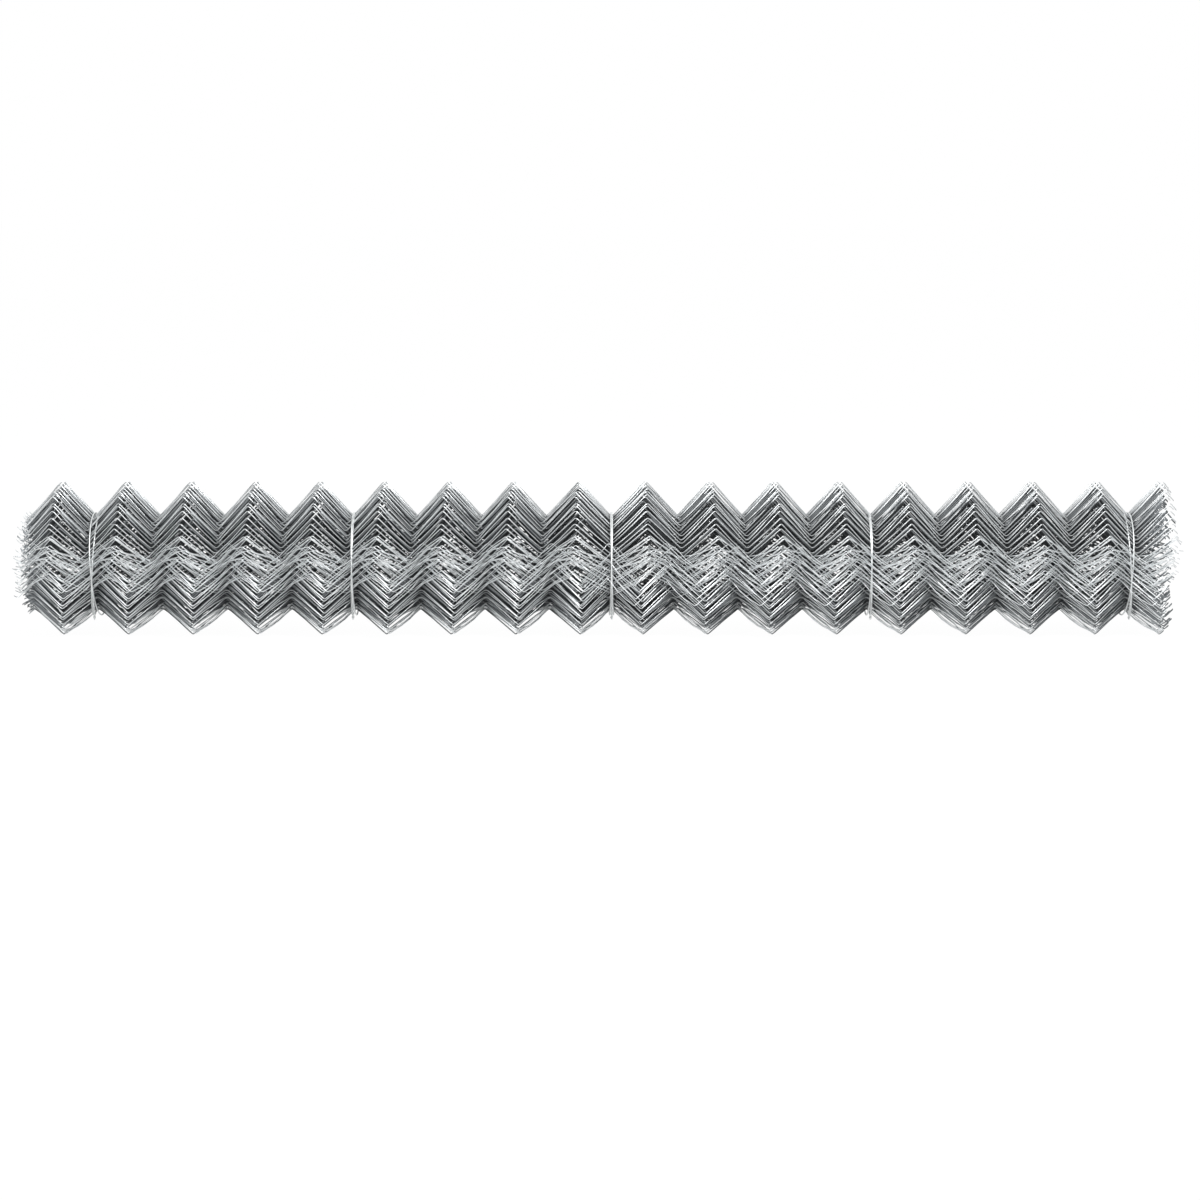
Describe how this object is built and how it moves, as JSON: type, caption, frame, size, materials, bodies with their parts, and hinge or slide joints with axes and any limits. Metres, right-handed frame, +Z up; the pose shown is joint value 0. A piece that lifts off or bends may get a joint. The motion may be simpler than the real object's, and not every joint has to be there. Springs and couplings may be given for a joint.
{
  "type": "roll of chain-link fence",
  "caption": "Compact roll of galvanised chain-link field fence, rolled up with its diamonds closed and held by wire ties.",
  "frame": {"origin": "on the ground, under the middle of the roll", "axes": "+X along the roll, towards the end where the wires stop on an outer knuckle; +Z up; -Y is the side where the ties' twisted ends hang down"},
  "size_m": [1.4972, 0.202, 0.199],
  "materials": {
    "galvanised_wire": "bright zinc coating, softly shiny with fine drawing marks",
    "tie_wire": "thicker soft zinc-coated wire, slightly duller"
  },
  "bodies": {
    "root": {"picket_01": "galvanised_wire", "picket_02": "galvanised_wire", "picket_03": "galvanised_wire", "picket_04": "galvanised_wire", "picket_05": "galvanised_wire", "picket_06": "galvanised_wire", "picket_07": "galvanised_wire", "picket_08": "galvanised_wire", "picket_09": "galvanised_wire", "picket_10": "galvanised_wire", "picket_11": "galvanised_wire", "picket_12": "galvanised_wire", "picket_13": "galvanised_wire", "picket_14": "galvanised_wire", "picket_15": "galvanised_wire", "picket_16": "galvanised_wire", "picket_17": "galvanised_wire", "picket_18": "galvanised_wire", "picket_19": "galvanised_wire", "picket_20": "galvanised_wire", "picket_21": "galvanised_wire", "picket_22": "galvanised_wire", "picket_23": "galvanised_wire", "picket_24": "galvanised_wire", "picket_25": "galvanised_wire", "picket_26": "galvanised_wire", "picket_27": "galvanised_wire", "picket_28": "galvanised_wire", "picket_29": "galvanised_wire", "picket_30": "galvanised_wire", "picket_31": "galvanised_wire", "picket_32": "galvanised_wire", "picket_33": "galvanised_wire", "picket_34": "galvanised_wire", "picket_35": "galvanised_wire", "picket_36": "galvanised_wire", "picket_37": "galvanised_wire", "picket_38": "galvanised_wire", "picket_39": "galvanised_wire", "picket_40": "galvanised_wire", "tie_1": "tie_wire", "tie_2": "tie_wire", "tie_3": "tie_wire", "tie_4": "tie_wire", "tie_5": "tie_wire"}
  },
  "joints": []
}
